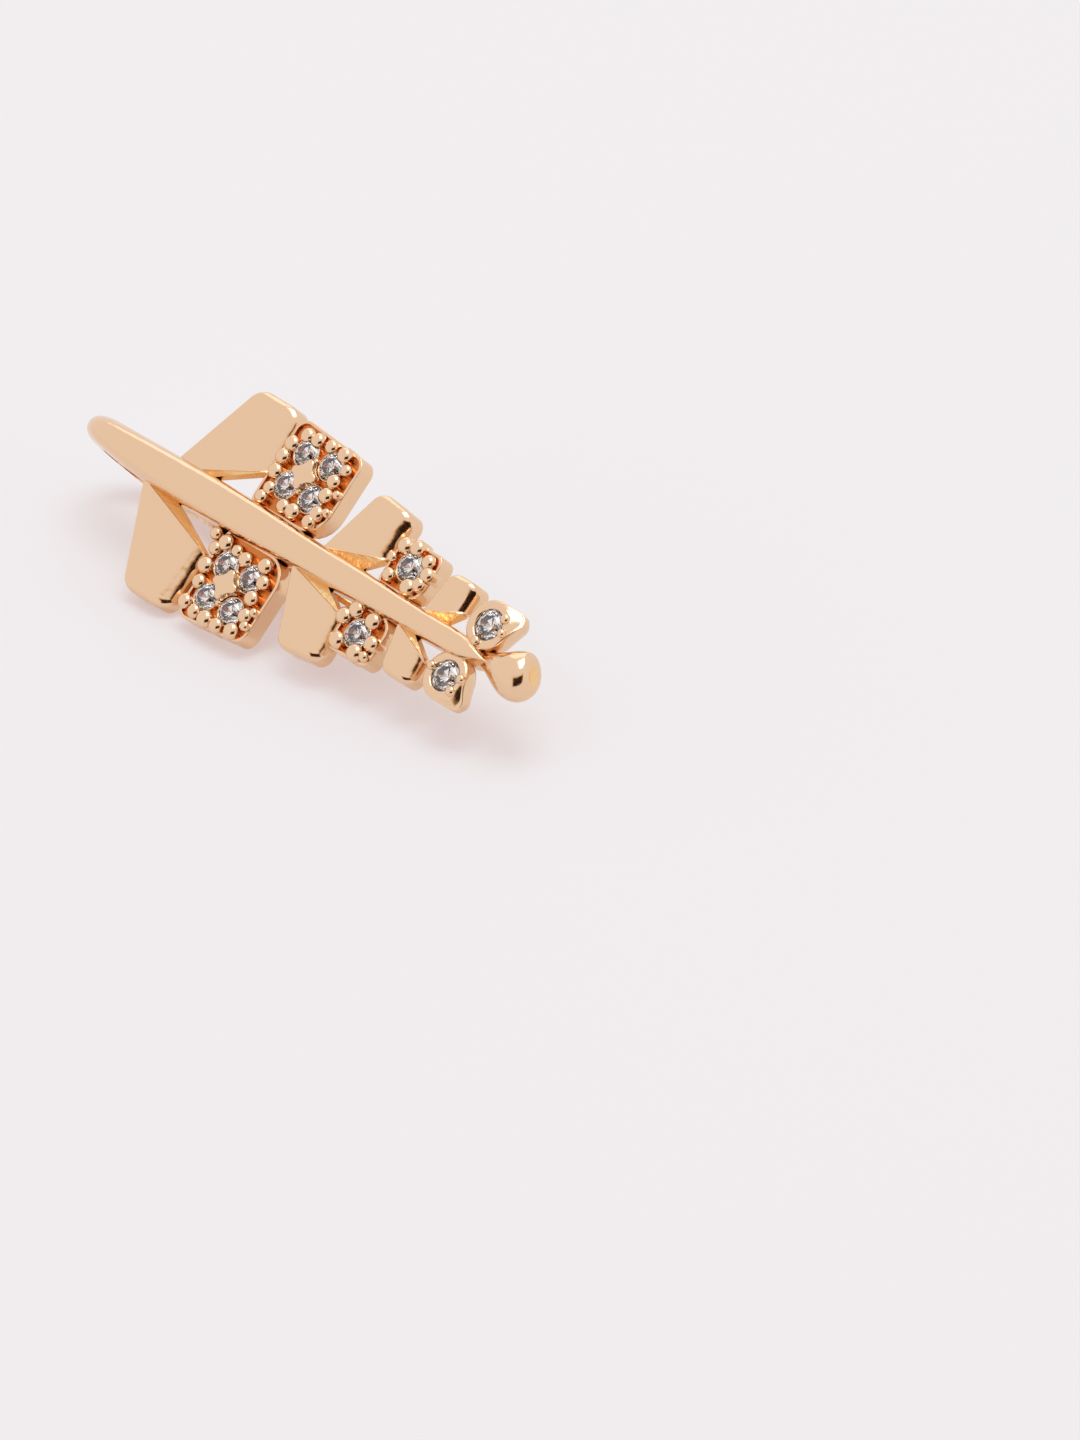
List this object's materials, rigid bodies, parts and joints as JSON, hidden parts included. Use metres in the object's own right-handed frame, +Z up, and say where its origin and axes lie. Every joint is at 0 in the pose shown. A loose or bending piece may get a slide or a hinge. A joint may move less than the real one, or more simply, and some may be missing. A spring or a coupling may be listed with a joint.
{
  "type": "slip-on leaf ear hook earring",
  "caption": "Slip-on ear hook earring: a narrow leaf of staggered plain blades and stone-set blocks on a straight spine that bends round into an open hook behind.",
  "frame": {"origin": "on the surface the earring lies on, under the middle of its box", "axes": "+X along the spine from the bend of the hook to the tip, +Z up as it lies; the leaf is rolled 44 degrees about +X, so its +Y side is raised and its -Y side is down, and its tip lies 1.2 degrees lower than its bend"},
  "size_m": [0.0306, 0.0084, 0.0081],
  "materials": {
    "gold": "polished brass with a thin rose-gold plating",
    "crystal": "clear cut stone, polished facets"
  },
  "bodies": {
    "root": {"leaf_casting": "gold", "pave_stone_u1": "crystal", "pave_stone_u2": "crystal", "pave_stone_u3": "crystal", "pave_stone_u4": "crystal", "block_stone_u": "crystal", "leaf_stone_u": "crystal", "pave_stone_l1": "crystal", "pave_stone_l2": "crystal", "pave_stone_l3": "crystal", "pave_stone_l4": "crystal", "block_stone_l": "crystal", "leaf_stone_l": "crystal"}
  },
  "joints": []
}
